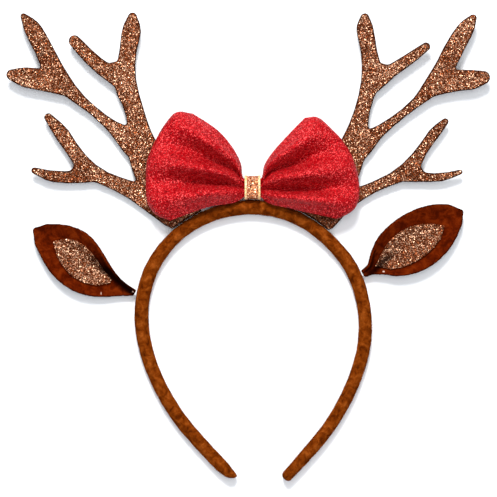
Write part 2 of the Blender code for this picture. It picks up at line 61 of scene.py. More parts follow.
# The bow, in millimetres: the solid ribbon's folds, with two more and deeper valleys in each lobe.
RIBBON_THICKNESS = 1.0
BOW_CENTRE_X = 1.75
BOW_NECK_X = 4.7
BOW_KNOT_Z = 7.0
BOW_GATHER_BACK_Z = 5.4
BOW_BACK_Z = 7.4
BOW_EDGE_Z = 11.5
BOW_ALONG = 44
BOW_FLARE_ACROSS = 0.15
BOW_FLARE_UP = 0.33
BOW_BACK_ALONG = 24
BOW_ACROSS = 84
BowFold = namedtuple("BowFold", "neck_y neck_z mid_x mid_y mid_z end_x end_y end_z")
LEFT_LOBE = (
    BowFold(36.8, 8.4, -14.6, 60.0, 14.0, -29.8, 70.9, 13.5),
    BowFold(36.4, 8.8, -18.0, 58.6, 18.5, -37.4, 71.9, 18.0),
    BowFold(35.8, 9.0, -21.0, 55.0, 22.5, -42.4, 68.0, 20.5),
    BowFold(34.9, 7.2, -20.6, 47.6, 10.0, -48.6, 58.0, 19.0),
    BowFold(33.2, 9.0, -25.0, 42.0, 23.5, -53.4, 46.5, 22.5),
    BowFold(31.7, 7.2, -21.5, 35.4, 10.0, -54.2, 35.5, 19.0),
    BowFold(30.2, 9.0, -26.0, 29.5, 21.5, -53.4, 25.0, 20.0),
    BowFold(28.8, 8.8, -22.6, 25.4, 17.0, -49.2, 18.6, 18.0),
    BowFold(27.4, 8.4, -20.5, 22.6, 12.5, -41.6, 15.2, 13.5),
)
RIGHT_LOBE = (
    BowFold(36.8, 8.4, 19.0, 57.8, 14.0, 29.4, 68.6, 13.5),
    BowFold(36.4, 8.8, 21.6, 55.6, 18.5, 35.6, 69.1, 18.0),
    BowFold(35.8, 9.0, 24.0, 52.6, 22.5, 41.2, 65.0, 20.5),
    BowFold(34.9, 7.2, 25.0, 45.8, 10.0, 51.0, 54.0, 19.0),
    BowFold(33.0, 9.0, 28.5, 39.0, 23.5, 56.0, 43.0, 22.5),
    BowFold(31.4, 7.2, 26.0, 31.6, 10.0, 57.7, 33.0, 19.0),
    BowFold(30.0, 9.0, 28.0, 27.0, 21.5, 57.0, 24.6, 20.0),
    BowFold(28.8, 8.8, 25.2, 24.2, 17.0, 53.4, 19.6, 18.0),
    BowFold(27.4, 8.4, 22.5, 21.4, 12.5, 46.2, 16.1, 13.5),
)

# How wide a strip along an antler's cut edge has lost its glitter.
ANTLER_RIM = 0.5 * MM

# The painted shadow in the crease that runs into each ear from its base, in millimetres in the tables'
# frame.
EarCreaseShadow = namedtuple("EarCreaseShadow", "x y heading length width depth")
EAR_CREASE_SHADOWS = {
    "left": EarCreaseShadow(-60.5, -24.2, 139.0, 34.0, 2.4, 0.93),
    "right": EarCreaseShadow(62.0, -15.6, 43.0, 25.0, 1.9, 0.85),
}
# How wide and how dark the painted shade line along an ear's cut edge is.
EAR_EDGE = 0.8 * MM
EAR_EDGE_SHADE = 0.6

# Stitches and drops of glue on the ears, in millimetres in the tables' frame.
TackSpot = namedtuple("TackSpot", "name x y length radius")
EAR_TACKS = {
    "left": (TackSpot("stitch", -78.5, -24.0, 2.4, 0.25), TackSpot("glue", -61.6, -22.6, 1.1, 0.5)),
    "right": (TackSpot("stitch", 71.2, -12.2, 1.2, 0.7),),
}

# A record of the flat size of a sheet that a piece is cut from, in metres, with the cloth's own area.
FlatSheet = namedtuple("FlatSheet", "width length area")

# The gold wrap, in millimetres.
WRAP_LENGTH = 8.4
WRAP_HEIGHT = 12.4
WRAP_DEPTH = 10.4
WRAP_CENTRE_Y = 32.35
WRAP_SQUARENESS = 5.0
WRAP_THICKNESS = 1.0
WRAP_HEM = 1.3
WRAP_HEM_RISE = 0.25
WRAP_SIDES = 96
WRAP_ROWS = 24


# How each piece is made fine: the size of its new faces, and how often its edges are softened.
FineMesh = namedtuple("FineMesh", "face_size softenings")
BAND_MESH = FineMesh(0.7 * MM, 8)
ANTLER_MESH = FineMesh(0.55 * MM, 5)
EAR_MESH = FineMesh(0.45 * MM, 5)
LEAF_MESH = FineMesh(0.32 * MM, 3)

# The lumps of each cloth: broad ones and fine ones, their heights and how many fit in a metre.
BAND_LUMPS = {"Wide_Height": 0.45 * MM, "Wide_Scale": 150.0, "Fine_Height": 0.22 * MM, "Fine_Scale": 520.0}
ANTLER_LUMPS = {"Wide_Height": 0.3 * MM, "Wide_Scale": 90.0, "Fine_Height": 0.12 * MM, "Fine_Scale": 700.0}
EAR_LUMPS = {"Wide_Height": 0.3 * MM, "Wide_Scale": 110.0, "Fine_Height": 0.08 * MM, "Fine_Scale": 800.0}
LEAF_LUMPS = {"Wide_Height": 0.2 * MM, "Wide_Scale": 150.0, "Fine_Height": 0.08 * MM, "Fine_Scale": 800.0}
BOW_LUMPS = {"Wide_Height": 0.6 * MM, "Wide_Scale": 80.0, "Fine_Height": 0.12 * MM, "Fine_Scale": 500.0}

# What is scattered on each piece: how many in a square metre, and the size of one.
BAND_NAP = {
    "Density": 2.5e6, "Foot_Radius": 0.04 * MM, "Top_Radius": 0.004 * MM, "Height": 0.62 * MM,
    "Sink": 0.08 * MM, "Tilt": 1.25,
}
ANTLER_CHIPS = {
    "Density": 6.2e6, "Foot_Radius": 0.32 * MM, "Top_Radius": 0.29 * MM, "Height": 0.1 * MM,
    "Sink": 0.03 * MM, "Tilt": 0.55, "Smallest": 0.55, "Largest": 1.15,
}
EAR_LEAF_CHIPS = {
    "Density": 6.5e6, "Foot_Radius": 0.34 * MM, "Top_Radius": 0.31 * MM, "Height": 0.1 * MM,
    "Sink": 0.03 * MM, "Tilt": 0.6, "Smallest": 0.5, "Largest": 1.1,
}
BOW_CHIPS = {
    "Density": 1.0e6, "Foot_Radius": 0.4 * MM, "Top_Radius": 0.36 * MM, "Height": 0.08 * MM,
    "Sink": 0.03 * MM, "Tilt": 0.5, "Smallest": 0.5, "Largest": 1.2,
}
LEAF_SEED = SEED + 20
BOW_SEED = SEED + 40

# Where a surface counts as a front, by how far its normal points up, and as a cut edge.
FRONT_FACING = 0.5
LEAF_FRONT_FACING = 0.2

# A stitch's or drop's height against its width, and its place where it misses the ear.
TACK_FLATNESS = 0.6
TACK_SPARE_HEIGHT = 6.0 * MM

# How far the floor lies under the frame's zero, clear of the pieces, and its half size.
FLOOR_DROP = 0.05 * MM
FLOOR_REACH = 4.0


def srgb(red, green, blue):
    """Turn a colour read as 0 to 255 into the linear values that a shader takes."""
    def linear(value):
        value /= 255
        return value / 12.92 if value <= 0.04045 else ((value + 0.055) / 1.055) ** 2.4

    return (linear(red), linear(green), linear(blue), 1.0)


# Shader groups

def shader_group(name, inputs, outputs):
    """Make a shader node group with the given sockets, and return it with its two ends."""
    group = bpy.data.node_groups.new(name, "ShaderNodeTree")
    for label, kind, value in inputs:
        socket = group.interface.new_socket(label, in_out="INPUT", socket_type=kind)
        socket.default_value = value
    for label, kind in outputs:
        group.interface.new_socket(label, in_out="OUTPUT", socket_type=kind)
    return group, group.nodes.new("NodeGroupInput"), group.nodes.new("NodeGroupOutput")


def add_node(tree, kind, links=(), **settings):
    """Add a node, set its properties, and link or fill its inputs."""
    node = tree.nodes.new(kind)
    for key, value in settings.items():
        setattr(node, key, value)
    for key, value in dict(links).items():
        if isinstance(value, bpy.types.NodeSocket):
            tree.links.new(value, node.inputs[key])
        else:
            node.inputs[key].default_value = value
    return node


def math_node(tree, operation, first, second=0.0):
    """Add one sum, and return its result."""
    return add_node(tree, "ShaderNodeMath", {0: first, 1: second}, operation=operation).outputs[0]


def mix_colours(tree, share, first, second, blend="MIX"):
    """Mix two colours, and return the result."""
    node = add_node(tree, "ShaderNodeMix", data_type="RGBA", blend_type=blend)
    for key, value in {0: share, 6: first, 7: second}.items():
        if isinstance(value, bpy.types.NodeSocket):
            tree.links.new(value, node.inputs[key])
        else:
            node.inputs[key].default_value = value
    return node.outputs[2]


def colour_ramp(tree, value, stops):
    """Turn a value into a colour between stops of place and colour."""
    node = add_node(tree, "ShaderNodeValToRGB", {0: value})
    band = node.color_ramp
    while len(band.elements) < len(stops):
        band.elements.new(0.5)
    for element, (place, colour) in zip(band.elements, stops):
        element.position = place
        element.color = colour
    return node.outputs[0]


def ramp(tree, value, stops):
    """Turn a value into a grey between stops of place and brightness."""
    return colour_ramp(tree, value, [(place, (shade, shade, shade, 1.0)) for place, shade in stops])


def felt_nap_group():
    """Felt: soft patches where the nap lies, fine fibres, and a height for its bump."""
    group, start, end = shader_group(
        "felt_nap",
        (
            ("Dark", "NodeSocketColor", (0.1, 0.1, 0.1, 1.0)),
            ("Middle", "NodeSocketColor", (0.2, 0.2, 0.2, 1.0)),
            ("Light", "NodeSocketColor", (0.3, 0.3, 0.3, 1.0)),
            ("Patch Scale", "NodeSocketFloat", 300.0),
            ("Fibre Scale", "NodeSocketFloat", 2600.0),
        ),
        (("Color", "NodeSocketColor"), ("Height", "NodeSocketFloat")),
    )
    place = add_node(group, "ShaderNodeTexCoord").outputs["Object"]
    patch = add_node(group, "ShaderNodeTexNoise", {
        "Vector": place, "Scale": start.outputs["Patch Scale"], "Detail": 3.0, "Roughness": 0.65,
        "Distortion": 0.6,
    })
    fibre = add_node(group, "ShaderNodeTexNoise", {
        "Vector": place, "Scale": start.outputs["Fibre Scale"], "Detail": 2.0, "Roughness": 0.7,
    })
    dark_share = ramp(group, patch.outputs["Fac"], ((0.34, 1.0), (0.5, 0.0)))
    light_share = ramp(group, patch.outputs["Fac"], ((0.5, 0.0), (0.68, 1.0)))
    colour = mix_colours(group, dark_share, start.outputs["Middle"], start.outputs["Dark"])
    colour = mix_colours(group, light_share, colour, start.outputs["Light"])
    speck = ramp(group, fibre.outputs["Fac"], ((0.3, 0.62), (0.72, 1.38)))
    colour = mix_colours(group, 0.75, colour, speck, "MULTIPLY")
    group.links.new(colour, end.inputs["Color"])
    height = math_node(group, "MULTIPLY_ADD", fibre.outputs["Fac"], 0.6)
    total = math_node(group, "ADD", height, patch.outputs["Fac"])
    group.links.new(total, end.inputs["Height"])
    return group


def glitter_grain_group():
    """Fine glitter set in a coat: each grain has its own tone and faces its own way, and a few grains take a
    painted glint colour.
    """
    group, start, end = shader_group(
        "glitter_grain",
        (
            ("Dark", "NodeSocketColor", (0.1, 0.1, 0.1, 1.0)),
            ("Middle", "NodeSocketColor", (0.3, 0.3, 0.3, 1.0)),
            ("Bright", "NodeSocketColor", (0.9, 0.9, 0.9, 1.0)),
            ("Grain Scale", "NodeSocketFloat", 1900.0),
            ("Tilt", "NodeSocketFloat", 0.9),
        ),
        (("Color", "NodeSocketColor"), ("Normal", "NodeSocketVector"), ("Spark", "NodeSocketFloat")),
    )
    place = add_node(group, "ShaderNodeTexCoord").outputs["Object"]
    grain = add_node(group, "ShaderNodeTexVoronoi", {
        "Vector": place, "Scale": start.outputs["Grain Scale"], "Randomness": 1.0,
    })
    parts = add_node(group, "ShaderNodeSeparateColor", {0: grain.outputs["Color"]})
    dark_share = ramp(group, parts.outputs[0], ((0.25, 1.0), (0.5, 0.0)))
    # The few grains picked here take the painted glint colour.
    spark = ramp(group, parts.outputs[1], ((0.8, 0.0), (0.92, 1.0)))
    colour = mix_colours(group, dark_share, start.outputs["Middle"], start.outputs["Dark"])
    colour = mix_colours(group, spark, colour, start.outputs["Bright"])
    group.links.new(colour, end.inputs["Color"])
    group.links.new(spark, end.inputs["Spark"])
    centred = add_node(group, "ShaderNodeVectorMath", {
        0: grain.outputs["Color"], 1: (-0.5, -0.5, -0.5),
    }, operation="ADD")
    scaled = add_node(group, "ShaderNodeVectorMath", {
        0: centred.outputs[0], "Scale": start.outputs["Tilt"],
    }, operation="SCALE")
    facing = add_node(group, "ShaderNodeNewGeometry").outputs["Normal"]
    leaned = add_node(group, "ShaderNodeVectorMath", {
        0: facing, 1: scaled.outputs[0],
    }, operation="ADD")
    normal = add_node(group, "ShaderNodeVectorMath", {0: leaned.outputs[0]}, operation="NORMALIZE")
    group.links.new(normal.outputs[0], end.inputs["Normal"])
    return group


FELT_NAP = felt_nap_group()
GLITTER_GRAIN = glitter_grain_group()


# Materials

def plain_material(name, **sockets):
    """Make a material, set its shader's own sockets, and return it with its tree and shader."""
    material = bpy.data.materials.new(name)
    material.use_nodes = True
    tree = material.node_tree
    shader = tree.nodes["Principled BSDF"]
    for label, value in sockets.items():
        shader.inputs[label.replace("_", " ")].default_value = value
    return material, tree, shader


def shaded(tree, colour):
    """Darken a colour by the painted shade that a surface stores: painted shadow in a fold, and a painted
    shade line along a cut edge.
    """
    shade = add_node(tree, "ShaderNodeAttribute", attribute_name="shade").outputs["Fac"]
    kept = math_node(tree, "SUBTRACT", 1.0, shade)
    return mix_colours(tree, 1.0, colour, kept, "MULTIPLY")


def felt_material(name, dark, middle, light, patch_scale, fibre_scale, depth, sheen):
    """Felt in three shades of one colour, with a soft sheen."""
    material, tree, shader = plain_material(
        name, Roughness=1.0, Sheen_Weight=sheen, Sheen_Roughness=0.45, Sheen_Tint=light,
        Specular_IOR_Level=0.0,
    )
    nap = add_node(tree, "ShaderNodeGroup", node_tree=FELT_NAP)
    for label, value in (("Dark", dark), ("Middle", middle), ("Light", light),
                         ("Patch Scale", patch_scale), ("Fibre Scale", fibre_scale)):
        nap.inputs[label].default_value = value
    bump = add_node(tree, "ShaderNodeBump", {"Height": nap.outputs["Height"], "Distance": depth})
    # The felt's colour takes any painted shade that the surface stores.
    tree.links.new(shaded(tree, nap.outputs["Color"]), shader.inputs["Base Color"])
    tree.links.new(bump.outputs["Normal"], shader.inputs["Normal"])
    return material


def glitter_material(name, dark, middle, glint, grain_scale, tilt, metallic, roughness):
    """The coat of fine glitter on a sheet, its third colour a painted glint."""
    material, tree, shader = plain_material(
        name, Roughness=roughness, Metallic=metallic, Specular_IOR_Level=0.1
    )
    grain = add_node(tree, "ShaderNodeGroup", node_tree=GLITTER_GRAIN)
    for label, value in (("Dark", dark), ("Middle", middle), ("Bright", glint),
                         ("Grain Scale", grain_scale), ("Tilt", tilt)):
        grain.inputs[label].default_value = value
    # The coat's colour takes any painted shade that the surface stores.
    tree.links.new(shaded(tree, grain.outputs["Color"]), shader.inputs["Base Color"])
    tree.links.new(grain.outputs["Normal"], shader.inputs["Normal"])
    return material


def chip_material(name, stops, metallic, roughness, painted_reflection_strength):
    """Single chips of glitter, each in the colour of its own random tone, under broad patches of painted
    reflection that lighten and darken it.
    """
    material, tree, shader = plain_material(
        name, Roughness=roughness, Metallic=metallic, Specular_IOR_Level=0.1
    )
    tone = add_node(tree, "ShaderNodeAttribute", attribute_name="tone")
    place = add_node(tree, "ShaderNodeTexCoord").outputs["Object"]
    # Broad patches of painted reflection, lighter and darker at random, added to each chip's tone.
    reflection_patches = add_node(tree, "ShaderNodeTexNoise", {"Vector": place, "Scale": 55.0, "Detail": 1.0})
    lowered = math_node(tree, "SUBTRACT", reflection_patches.outputs["Fac"], 0.5)
    painted_reflection = math_node(tree, "MULTIPLY", lowered, painted_reflection_strength)
    shade = math_node(tree, "ADD", tone.outputs["Fac"], painted_reflection)
    # The chips' colour takes any painted shade that the surface stores.
    tree.links.new(shaded(tree, colour_ramp(tree, shade, stops)), shader.inputs["Base Color"])
    return material


# Glitter colours: dark and middle tones, and painted glint colours for the few grains and chips that stand
# in for flakes catching the light.
COPPER_DARK = srgb(46, 18, 8)
COPPER_GLINT = srgb(255, 204, 166)
RED_DARK = srgb(112, 0, 6)
RED = srgb(178, 2, 14)
RED_GLINT = srgb(250, 84, 84)

BAND_FELT = felt_material(
    "band_felt_nap", srgb(76, 27, 2), srgb(113, 48, 6), srgb(142, 70, 20), 260.0, 2400.0, 0.0004, 0.12
)
EAR_FELT = felt_material(
    "ear_felt_nap", srgb(60, 12, 1), srgb(84, 22, 2), srgb(106, 36, 6), 240.0, 2800.0, 0.0002, 0.05
)
ANTLER_BACK_FELT = felt_material(
    "antler_back_felt", srgb(36, 14, 6), srgb(52, 24, 12), srgb(74, 38, 22), 300.0, 2600.0, 0.0002, 0.05
)
COPPER_COAT = glitter_material(
    "copper_glitter_coat", COPPER_DARK, srgb(112, 54, 24), COPPER_GLINT, 2400.0, 1.1, 0.6, 0.4
)
COPPER_CHIPS = chip_material("copper_glitter_chips", (
    (0.0, COPPER_DARK), (0.4, srgb(104, 48, 22)), (0.8, srgb(160, 84, 44)), (1.0, COPPER_GLINT),
), 0.85, 0.34, 0.9)
LEAF_CHIPS = chip_material("leaf_glitter_chips", (
    (0.0, COPPER_DARK), (0.4, srgb(112, 54, 28)), (0.78, srgb(166, 96, 58)), (1.0, COPPER_GLINT),
), 0.85, 0.34, 0.6)
RED_COAT = glitter_material(
    "red_glitter_coat", RED_DARK, RED, RED_GLINT, 2600.0, 0.7, 0.1, 0.5
)
RED_CHIPS = chip_material("red_glitter_chips", (
    (0.0, RED_DARK), (0.25, RED), (0.84, srgb(196, 14, 26)), (1.0, RED_GLINT),
), 0.4, 0.4, 0.3)
TACK_THREAD, _, _ = plain_material("tack_thread", Base_Color=srgb(206, 168, 148), Roughness=0.35)
# The third colour of the gold coat and of the hem is a painted glint.
GOLD_COAT = glitter_material(
    "gold_glitter_coat", srgb(120, 52, 26), srgb(200, 118, 76), srgb(255, 208, 168), 2200.0, 1.0, 0.6, 0.34
)
GOLD_HEM = glitter_material(
    "gold_hem", srgb(196, 140, 84), srgb(236, 196, 140), srgb(255, 232, 196), 3200.0, 0.4, 0.3, 0.45
)


# Geometry Nodes

def geometry_tree(name, inputs):
    """Make a tree for a modifier, and return it with its two ends."""
    tree = bpy.data.node_groups.new(name, "GeometryNodeTree")
    tree.is_modifier = True
    tree.interface.new_socket("Geometry", in_out="INPUT", socket_type="NodeSocketGeometry")
    for label, kind, value in inputs:
        socket = tree.interface.new_socket(label, in_out="INPUT", socket_type=kind)
        if value is not None:
            socket.default_value = value
    tree.interface.new_socket("Geometry", in_out="OUTPUT", socket_type="NodeSocketGeometry")
    return tree, tree.nodes.new("NodeGroupInput"), tree.nodes.new("NodeGroupOutput")


def scatter_tree():
    """Scatter small spikes or chips over the faces whose mask is high.

    With a top as wide as its foot a cone of three sides is a flat chip of glitter, and with no
    top it is a fibre.
    """
    tree, start, end = geometry_tree("scatter_over_surface", (
        ("Density", "NodeSocketFloat", 1.0e6),
        ("Foot Radius", "NodeSocketFloat", 0.0004),
        ("Top Radius", "NodeSocketFloat", 0.0003),
        ("Height", "NodeSocketFloat", 0.0001),
        ("Sink", "NodeSocketFloat", 0.00005),
        ("Tilt", "NodeSocketFloat", 0.5),
        ("Smallest", "NodeSocketFloat", 0.6),
        ("Largest", "NodeSocketFloat", 1.2),
        ("Seed", "NodeSocketInt", SEED),
        ("Material", "NodeSocketMaterial", None),
    ))
    sizes = start.outputs
    mask = add_node(tree, "GeometryNodeInputNamedAttribute", {"Name": "mask"}, data_type="FLOAT")
    spread = math_node(tree, "MULTIPLY", sizes["Density"], mask.outputs[0])
    spots = add_node(tree, "GeometryNodeDistributePointsOnFaces", {
        "Mesh": sizes["Geometry"], "Density": spread, "Seed": sizes["Seed"],
    })
    cone = add_node(tree, "GeometryNodeMeshCone", {
        "Vertices": 3, "Radius Top": sizes["Top Radius"], "Radius Bottom": sizes["Foot Radius"],
        "Depth": sizes["Height"],
    }, fill_type="NGON")
    down = math_node(tree, "MULTIPLY", sizes["Sink"], -1.0)
    shift = add_node(tree, "ShaderNodeCombineXYZ", {"Z": down})
    sunk = add_node(tree, "GeometryNodeTransform", {
        "Geometry": cone.outputs["Mesh"], "Translation": shift.outputs[0],
    })
    flat = add_node(tree, "GeometryNodeSetShadeSmooth", {"Geometry": sunk.outputs[0], "Shade Smooth": False})
    lean_low = math_node(tree, "MULTIPLY", sizes["Tilt"], -1.0)
    lowest = add_node(tree, "ShaderNodeCombineXYZ", {"X": lean_low, "Y": lean_low, "Z": 0.0})
    highest = add_node(tree, "ShaderNodeCombineXYZ", {
        "X": sizes["Tilt"], "Y": sizes["Tilt"], "Z": 2 * math.pi,
    })
    lean = add_node(tree, "FunctionNodeRandomValue", {
        0: lowest.outputs[0], 1: highest.outputs[0], "Seed": sizes["Seed"],
    }, data_type="FLOAT_VECTOR")
    turned = add_node(tree, "FunctionNodeEulerToRotation", {0: lean.outputs[0]})
    facing = add_node(tree, "FunctionNodeRotateRotation", {
        0: spots.outputs["Rotation"], 1: turned.outputs[0],
    }, rotation_space="LOCAL")
    second_seed = math_node(tree, "ADD", sizes["Seed"], 1.0)
    grow = add_node(tree, "FunctionNodeRandomValue", {
        2: sizes["Smallest"], 3: sizes["Largest"], "Seed": second_seed,
    }, data_type="FLOAT")
    placed = add_node(tree, "GeometryNodeInstanceOnPoints", {
        "Points": spots.outputs["Points"], "Instance": flat.outputs[0],
        "Rotation": facing.outputs[0], "Scale": grow.outputs[1],
    })
    third_seed = math_node(tree, "ADD", sizes["Seed"], 2.0)
    tone = add_node(tree, "FunctionNodeRandomValue", {2: 0.0, 3: 1.0, "Seed": third_seed}, data_type="FLOAT")
    toned = add_node(tree, "GeometryNodeStoreNamedAttribute", {
        "Geometry": placed.outputs[0], "Name": "tone", "Value": tone.outputs[1],
    }, data_type="FLOAT", domain="INSTANCE")
    real = add_node(tree, "GeometryNodeRealizeInstances", {"Geometry": toned.outputs[0]})
    finished = add_node(tree, "GeometryNodeSetMaterial", {
        "Geometry": real.outputs[0], "Material": sizes["Material"],
    })
    tree.links.new(finished.outputs[0], end.inputs[0])
    return tree


def ruffle_tree():
    """Push a surface in and out by two sizes of noise, for the lumps of felt and cloth."""
    tree, start, end = geometry_tree("ruffle_surface", (
        ("Wide Height", "NodeSocketFloat", 0.0002),
        ("Wide Scale", "NodeSocketFloat", 120.0),
        ("Fine Height", "NodeSocketFloat", 0.0001),
        ("Fine Scale", "NodeSocketFloat", 600.0),
    ))
    sizes = start.outputs
    pushes = []
    for label in ("Wide", "Fine"):
        noise = add_node(tree, "ShaderNodeTexNoise", {"Scale": sizes[label + " Scale"], "Detail": 1.0})
        centred = math_node(tree, "SUBTRACT", noise.outputs[0], 0.5)
        pushes.append(math_node(tree, "MULTIPLY", centred, sizes[label + " Height"]))
    push = math_node(tree, "ADD", *pushes)
    facing = add_node(tree, "GeometryNodeInputNormal")
    offset = add_node(tree, "ShaderNodeVectorMath", {
        0: facing.outputs[0], "Scale": push,
    }, operation="SCALE")
    moved = add_node(tree, "GeometryNodeSetPosition", {
        "Geometry": sizes["Geometry"], "Offset": offset.outputs[0],
    })
    real = add_node(tree, "GeometryNodeRealizeInstances", {"Geometry": moved.outputs[0]})
    tree.links.new(real.outputs[0], end.inputs[0])
    return tree


SCATTER = scatter_tree()
RUFFLE = ruffle_tree()


def baked(item, name):
    """Turn an object with its modifiers into a plain mesh object of that name."""
    bpy.context.view_layer.update()
    depsgraph = bpy.context.evaluated_depsgraph_get()
    mesh = bpy.data.meshes.new_from_object(item.evaluated_get(depsgraph), depsgraph=depsgraph)
    bpy.data.objects.remove(item, do_unlink=True)
    mesh.name = name
    return add_mesh(name, mesh)


def add_mesh(name, mesh):
    """Link a mesh to the scene as an object of that name."""
    item = bpy.data.objects.new(name, mesh)
    bpy.context.scene.collection.objects.link(item)
    return item


def run_tree(item, tree, name, **values):
    """Run a tree over an object with the given sizes, and return its plain mesh."""
    modifier = item.modifiers.new("nodes", "NODES")
    modifier.node_group = tree
    names = {socket.name: socket.identifier for socket in tree.interface.items_tree
             if socket.in_out == "INPUT"}
    for label, value in values.items():
        modifier[names[label.replace("_", " ")]] = value
    return baked(item, name)


def twin(item, name):
    """Copy an object and its mesh."""
    return add_mesh(name, item.data.copy())


def scatter(surface, name, slot, material, **values):
    """Scatter chips or fibres over a surface as a piece of its own."""
    piece = run_tree(twin(surface, name + "_base"), SCATTER, name, Material=material, **values)
    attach(piece, "root")
    return piece


# Shared mesh making

def remade(node, fine):
    """Copy a solid of the frame as a fine even mesh with softened edges."""
    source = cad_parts[node]
    mesh = source.data.copy()
    shape = bmesh.new()
    shape.from_mesh(mesh)
    bmesh.ops.remove_doubles(shape, verts=shape.verts, dist=1e-6)
    shape.to_mesh(mesh)
    shape.free()
    mesh.materials.clear()
    item = add_mesh(node + "_work", mesh)
    remesh = item.modifiers.new("remesh", "REMESH")
    remesh.mode = "VOXEL"
    remesh.voxel_size = fine.face_size
    remesh.use_smooth_shade = True
    soften = item.modifiers.new("soften", "SMOOTH")
    soften.factor = 0.5
    soften.iterations = fine.softenings
    return baked(item, node + "_fine")


def vertex_places(mesh):
    """Return the places of a mesh's points as an array."""
    values = np.empty(len(mesh.vertices) * 3, np.float32)
    mesh.vertices.foreach_get("co", values)
    return values.reshape(-1, 3)


def upward_facing(mesh):
    """Return how far the normal at each of a mesh's points points up."""
    values = np.empty(len(mesh.vertices) * 3, np.float32)
    mesh.vertices.foreach_get("normal", values)
    return values.reshape(-1, 3)[:, 2]


def set_face_slots(mesh, slots):
    """Give each face its material number."""
    mesh.polygons.foreach_set("material_index", np.asarray(slots, np.int32))
    mesh.update()


def set_mask(mesh, values):
    """Store how thickly each point of a surface is covered by what is scattered on it."""
    mask = mesh.attributes.new("mask", "FLOAT", "POINT")
    mask.data.foreach_set("value", np.asarray(values, np.float32))


def smooth_rows(rows, places):
    """Pass one smooth curve through the rows, and read it at places from 0 to 1.

    The rows are spaced by their distance in the first two columns.
    """
    rows = np.array(rows, float)
    gaps = np.maximum(np.hypot(*(np.diff(rows[:, :2], axis=0).T)), 1e-6)
    knots = np.concatenate(([0.0], np.cumsum(gaps)))
    slopes = np.diff(rows, axis=0) / gaps[:, None]
    share = (gaps[1:] / (gaps[:-1] + gaps[1:]))[:, None]
    inner = slopes[:-1] * share + slopes[1:] * (1 - share)
    tangents = np.vstack((slopes[:1], inner, slopes[-1:]))
    where = np.clip(np.asarray(places) * knots[-1], 0.0, knots[-1])
    span = np.clip(np.searchsorted(knots, where, side="right") - 1, 0, len(gaps) - 1)
    u = ((where - knots[span]) / gaps[span])[:, None]
    reach = gaps[span][:, None]
    return (
        rows[span] * (2 * u**3 - 3 * u**2 + 1)
        + tangents[span] * reach * (u**3 - 2 * u**2 + u)
        + rows[span + 1] * (3 * u**2 - 2 * u**3)
        + tangents[span + 1] * reach * (u**3 - u**2)
    )


def grid_faces(rows, columns, closed_rows=False):
    """Return the quads of a grid whose points are listed row by row."""
    faces = []
    for i in range(rows if closed_rows else rows - 1):
        here, there = i * columns, (i + 1) % rows * columns
        faces.extend((here + j, there + j, there + j + 1, here + j + 1) for j in range(columns - 1))
    return faces


def grid_piece(name, points, faces, thickness, materials):
    """Make a wall from a grid of points in millimetres in the tables' frame."""
    mesh = bpy.data.meshes.new(name)
    mesh.from_pydata(((np.array(points) - OUTLINE_MIDDLE) * MM).tolist(), [], faces)
    mesh.shade_smooth()
    item = add_mesh(name + "_work", mesh)
    for material in materials:
        mesh.materials.append(material)
    wall = item.modifiers.new("wall", "SOLIDIFY")
    wall.thickness = thickness * MM
    wall.offset = 0.0
    return item


# The pieces

def finish_piece(piece, node):
    """Hang a piece under the root body, and hide the solid of the frame that it stands for."""
    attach(piece, "root")
    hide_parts(node)
    return piece


def make_band():
    """The hoop in its felt, with a short nap of fibres."""
    work = remade("band", BAND_MESH)
    work.data.materials.append(BAND_FELT)
    work.data.shade_smooth()
    band = run_tree(work, RUFFLE, "band_felted", **BAND_LUMPS)
    finish_piece(band, "band")
    set_mask(band.data, np.ones(len(band.data.vertices)))
    scatter(band, "band_nap", "band_felt", BAND_FELT, Seed=SEED, **BAND_NAP)
    return band


def rim_distance(mesh):
    """Return how far each point of a sheet's front lies from the sheet's cut edge."""
    upward = upward_facing(mesh)
    places = vertex_places(mesh)
    wall = places[np.abs(upward) < FRONT_FACING]
    tree = KDTree(len(wall))
    for index, place in enumerate(wall):
        tree.insert(place, index)
    tree.balance()
    return np.array([
        tree.find(place)[2] if up > FRONT_FACING else 0.0 for place, up in zip(places, upward)
    ])


def make_antler(side):
    """One antler: glitter on the front, plain felt on the back and along the cut edge."""
    node = "antler_" + side
    work = remade(node, ANTLER_MESH)
    mesh = work.data
    mesh.materials.append(COPPER_COAT)
    mesh.materials.append(ANTLER_BACK_FELT)
    inside = rim_distance(mesh)
    corners = np.empty(len(mesh.loops), np.int32)
    mesh.loops.foreach_get("vertex_index", corners)
    starts = np.empty(len(mesh.polygons), np.int32)
    mesh.polygons.foreach_get("loop_start", starts)
    nearest = np.minimum.reduceat(inside[corners], starts)
    set_face_slots(mesh, np.where(nearest > ANTLER_RIM, 0, 1))
    mesh.shade_smooth()
    antler = run_tree(work, RUFFLE, node + "_sheet", **ANTLER_LUMPS)
    finish_piece(antler, node)
    set_mask(antler.data, np.clip((inside / MM - ANTLER_RIM / MM) * 2, 0, 1))
    chips = scatter(antler, node + "_glitter", "brown_glitter", COPPER_CHIPS, Seed=SEED + len(side),
                    **ANTLER_CHIPS)
    return antler


def set_shade(mesh, side, rim):
    """Store the painted shade of an ear or its leaf: painted shadow along its crease, and a painted shade
    line along its cut edge.
    """
    crease = EAR_CREASE_SHADOWS[side]
    places = vertex_places(mesh)[:, :2] / MM + OUTLINE_MIDDLE[:2] - (crease.x, crease.y)
    heading = math.radians(crease.heading)
    along = places @ (math.cos(heading), math.sin(heading))
    across = places @ (-math.sin(heading), math.cos(heading))
    end = np.clip((crease.length - along) / (0.4 * crease.length), 0, 1)
    # Painted shadow along the crease: depth is how dark it is, fading out towards the crease's far end.
    fold = crease.depth * end * np.exp(-(np.abs(across) / crease.width) ** 3)
    # A painted shade line along the cut edge.
    edge = EAR_EDGE_SHADE * np.clip(1.2 - rim_distance(mesh) / EAR_EDGE, 0, 1) if rim else 0.0
    values = np.clip(np.maximum(fold, edge), 0, 0.97)
    mesh.attributes.new("shade", "FLOAT", "POINT").data.foreach_set("value", values.astype(np.float32))


